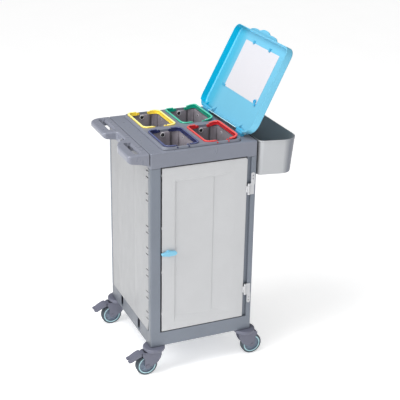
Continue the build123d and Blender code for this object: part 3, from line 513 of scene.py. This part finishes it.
def make_bag(colour, col, row, seed):
    cx, cy = RCX[col], RCY[row]
    off = bag_shape(seed)
    NS, NH = 320, 44
    verts, faces, fold_shade = [], [], []
    # painted shade inside the creases: broad in the pleat, a thin line along the corner seams
    lines = [(0.053, 0.0085 + 0.003 * math.sin(3.1 * seed), 0.62), (0.1005, 0.0026, 0.78), (0.40, 0.0026, 0.6), (0.60, 0.0026, 0.6), (-0.1005, 0.0026, 0.6), (-0.062, 0.006, 0.35)]
    for i in range(NH + 1):
        u = i / NH
        h = 1 - (u ** 1.25)
        for j in range(NS):
            verts.append(bag_point(cx, cy, off, j / NS, h))
            f = 0.0
            for c, w, a in lines:
                dd = (j / NS - c + 0.5) % 1.0 - 0.5
                f = max(f, a * math.exp(-(dd / w) ** 2))
            fold_shade.append(f * min(1.0, 0.35 + (1 - h) * 14.0))
    for i in range(NH):
        for j in range(NS):
            a, b = i * NS + j, i * NS + (j + 1) % NS
            faces.append((a, b, b + NS, a + NS))
    # sagging bottom, closing in rings
    base = NH * NS
    rings = 10
    mid = P(cx, cy, 0)
    prev = base
    for k in range(1, rings):
        f = 1 - k / rings
        start = len(verts)
        for j in range(NS):
            v = verts[base + j]
            w = Vector((mid.x + (v.x - mid.x) * f, mid.y + (v.y - mid.y) * f, 0))
            puck = 0.0012 * math.sin(9 * 2 * math.pi * j / NS + seed) * f
            w.z = verts[base].z - 0.0006 + puck * (1 - f)
            verts.append(w)
        for j in range(NS):
            a, b = prev + j, prev + (j + 1) % NS
            c, d2 = start + j, start + (j + 1) % NS
            faces.append((a, b, d2, c))
        prev = start
    faces.append(tuple(prev + j for j in range(NS)))
    o = mesh_object(f"bag_cloth_{colour}", verts, faces, CLOTH[colour], "frame")
    fold_shade += [0.0] * (len(verts) - len(fold_shade))
    o.data.attributes.new("fold_shade", "FLOAT", "POINT").data.foreach_set("value", fold_shade)
    so = o.modifiers.new("thick", "SOLIDIFY")
    so.thickness = 0.0011
    so.offset = -1.0
    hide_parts(f"bag_{colour}")
    return off


# the rolled rim is drawn as near-white plastic instead of metal: partly the metal's own brightness, partly a painted
# glint
SNAP = plastic("snap_rim", lin(226, 226, 230), rough=0.2, var=0.03, dust=0.0, edge=0)
SNAP_DARK = plastic("snap_cap", lin(34, 32, 36), rough=0.25, var=0.05, dust=0.0, edge=0)


def stud(name, centre, normal, r, mats, body):
    """Press stud: domed cap in a rolled metal rim, turned as one profile."""
    n = normal.normalized()
    t = n.orthogonal().normalized()
    b = n.cross(t)
    prof = [(1.18, -0.10), (1.22, 0.06), (1.16, 0.20), (1.04, 0.25), (0.95, 0.18), (0.90, 0.10), (0.84, 0.12), (0.70, 0.30), (0.45, 0.42), (0.20, 0.47), (0.0, 0.48)]
    verts, faces, k = [], [], 40
    for pr, ph in prof[:-1]:
        for j in range(k):
            a = 2 * math.pi * j / k
            verts.append(centre + (t * math.cos(a) + b * math.sin(a)) * (r * pr) + n * (r * ph))
    verts.append(centre + n * (r * prof[-1][1]))
    rows = len(prof) - 1
    for i in range(rows - 1):
        for j in range(k):
            faces.append((i * k + j, i * k + (j + 1) % k, (i + 1) * k + (j + 1) % k, (i + 1) * k + j))
    for j in range(k):
        faces.append(((rows - 1) * k + j, (rows - 1) * k + (j + 1) % k, rows * k))
    faces.append(tuple(reversed(range(k))))
    o = mesh_object(name, verts, faces, mats[0], body)
    o.data.materials.append(mats[1].m)
    for p in o.data.polygons:
        rr = max((o.data.vertices[v].co - centre - n * ((o.data.vertices[v].co - centre).dot(n))).length for v in p.vertices) / r
        p.material_index = 1 if rr < 0.96 else 0
    return o


for seed, (colour, col, row) in enumerate((("yellow", "left", "back"), ("green", "right", "back"), ("blue", "left", "front"), ("red", "right", "front"))):
    off = make_bag(colour, col, row, 11 + seed)
    cx, cy = RCX[col], RCY[row]
    for tag, s, h, r in (("large", 0.9915, 0.982, 0.0082), ("small", 0.155, 0.972, 0.0045)):
        a = bag_point(cx, cy, off, s, h, 1.3)
        e = 0.004
        du = bag_point(cx, cy, off, s + e, h, 1.3) - bag_point(cx, cy, off, s - e, h, 1.3)
        dv = bag_point(cx, cy, off, s, h + 0.01, 1.3) - bag_point(cx, cy, off, s, h - 0.01, 1.3)
        n = du.cross(dv)
        mid = P(cx, cy, 0)
        if n.dot(Vector((mid.x - a.x, mid.y - a.y, 0))) < 0:
            n = -n
        stud(f"bag_stud_{tag}_{colour}", a, n, r, (SNAP, SNAP_DARK), "frame")

# ------------------------------------------------------------------ stage, light, camera
floor_me = bpy.data.meshes.new("floor")
S = 14.0
floor_me.from_pydata([(-S, -S, 0), (S, -S, 0), (S, S, 0), (-S, S, 0)], [], [(0, 1, 2, 3)])
floor = bpy.data.objects.new("floor", floor_me)
bpy.context.scene.collection.objects.link(floor)
fm = Mat("floor_white")
fn = fm.noise(3.0, 3.0)
fm.link(fm.mix(fm.ramp(fn, 0.3, 0.7, 0.0, 1.0), (0.93, 0.93, 0.93, 1), (0.95, 0.95, 0.95, 1)), fm.b.inputs["Base Color"])
fm.b.inputs["Roughness"].default_value = 0.9
fm.b.inputs["Specular IOR Level"].default_value = 0.0
fm.b.inputs["Emission Color"].default_value = (1.0, 1.0, 1.0, 1.0)
fm.b.inputs["Emission Strength"].default_value = 0.42
floor_me.materials.append(fm.m)

world = bpy.data.worlds.new("studio")
bpy.context.scene.world = world
world.use_nodes = True
wt = world.node_tree
wc = wt.nodes.new("ShaderNodeTexCoord")
wd = wt.nodes.new("ShaderNodeVectorMath")
wd.operation = "DOT_PRODUCT"
wt.links.new(wc.outputs["Generated"], wd.inputs[0])
wd.inputs[1].default_value = Vector((-0.66, -0.62, 0.42)).normalized()
wr = wt.nodes.new("ShaderNodeMapRange")          # soft box before the cart, a little to its left; dim room behind
for k, v in (("From Min", -1.0), ("From Max", 1.0), ("To Min", 0.02), ("To Max", 0.87)):
    wr.inputs[k].default_value = v
wt.links.new(wd.outputs["Value"], wr.inputs["Value"])
wt.links.new(wr.outputs["Result"], wt.nodes["Background"].inputs["Strength"])
wt.nodes["Background"].inputs["Color"].default_value = (1.0, 1.0, 1.0, 1.0)


def area(name, loc, target, size, power, col=(1, 1, 1)):
    d = bpy.data.lights.new(name, "AREA")
    d.shape = "RECTANGLE"
    d.size, d.size_y = size
    d.energy = power
    d.color = col
    o = bpy.data.objects.new(name, d)
    o.location = loc
    o.rotation_euler = (Vector(target) - Vector(loc)).to_track_quat("-Z", "Y").to_euler()
    bpy.context.scene.collection.objects.link(o)
    return o


area("key", (-2.6, -0.7, 2.0), (0, 0, 0.7), (1.0, 1.0), 33)
area("fill", (-0.9, -3.2, 2.6), (0, 0, 0.7), (1.4, 1.4), 11)
area("top", (-1.1, -0.3, 3.3), (0, 0, 0.5), (1.4, 1.4), 48)

cam = bpy.data.cameras.new("camera")
cam.sensor_fit = "HORIZONTAL"
cam.sensor_width = 36.0
cam.lens = 36.0 * 997.751 / 400.0
cam.clip_end = 100.0
co = bpy.data.objects.new("camera", cam)
bpy.context.scene.collection.objects.link(co)
rv = Vector((1.9389, -0.3846, 0.2807))
R = Matrix.Rotation(rv.length, 3, rv.normalized())
right, down, fwd = R[0], R[1], R[2]
rot = Matrix((right, -down, -fwd)).transposed()
loc = P(-1219.0, -3269.9, 2100.1)
co.matrix_world = Matrix.Translation(loc) @ rot.to_4x4()
bpy.context.scene.camera = co

bpy.context.scene.view_settings.view_transform = "Standard"
bpy.context.scene.view_settings.look = "None"
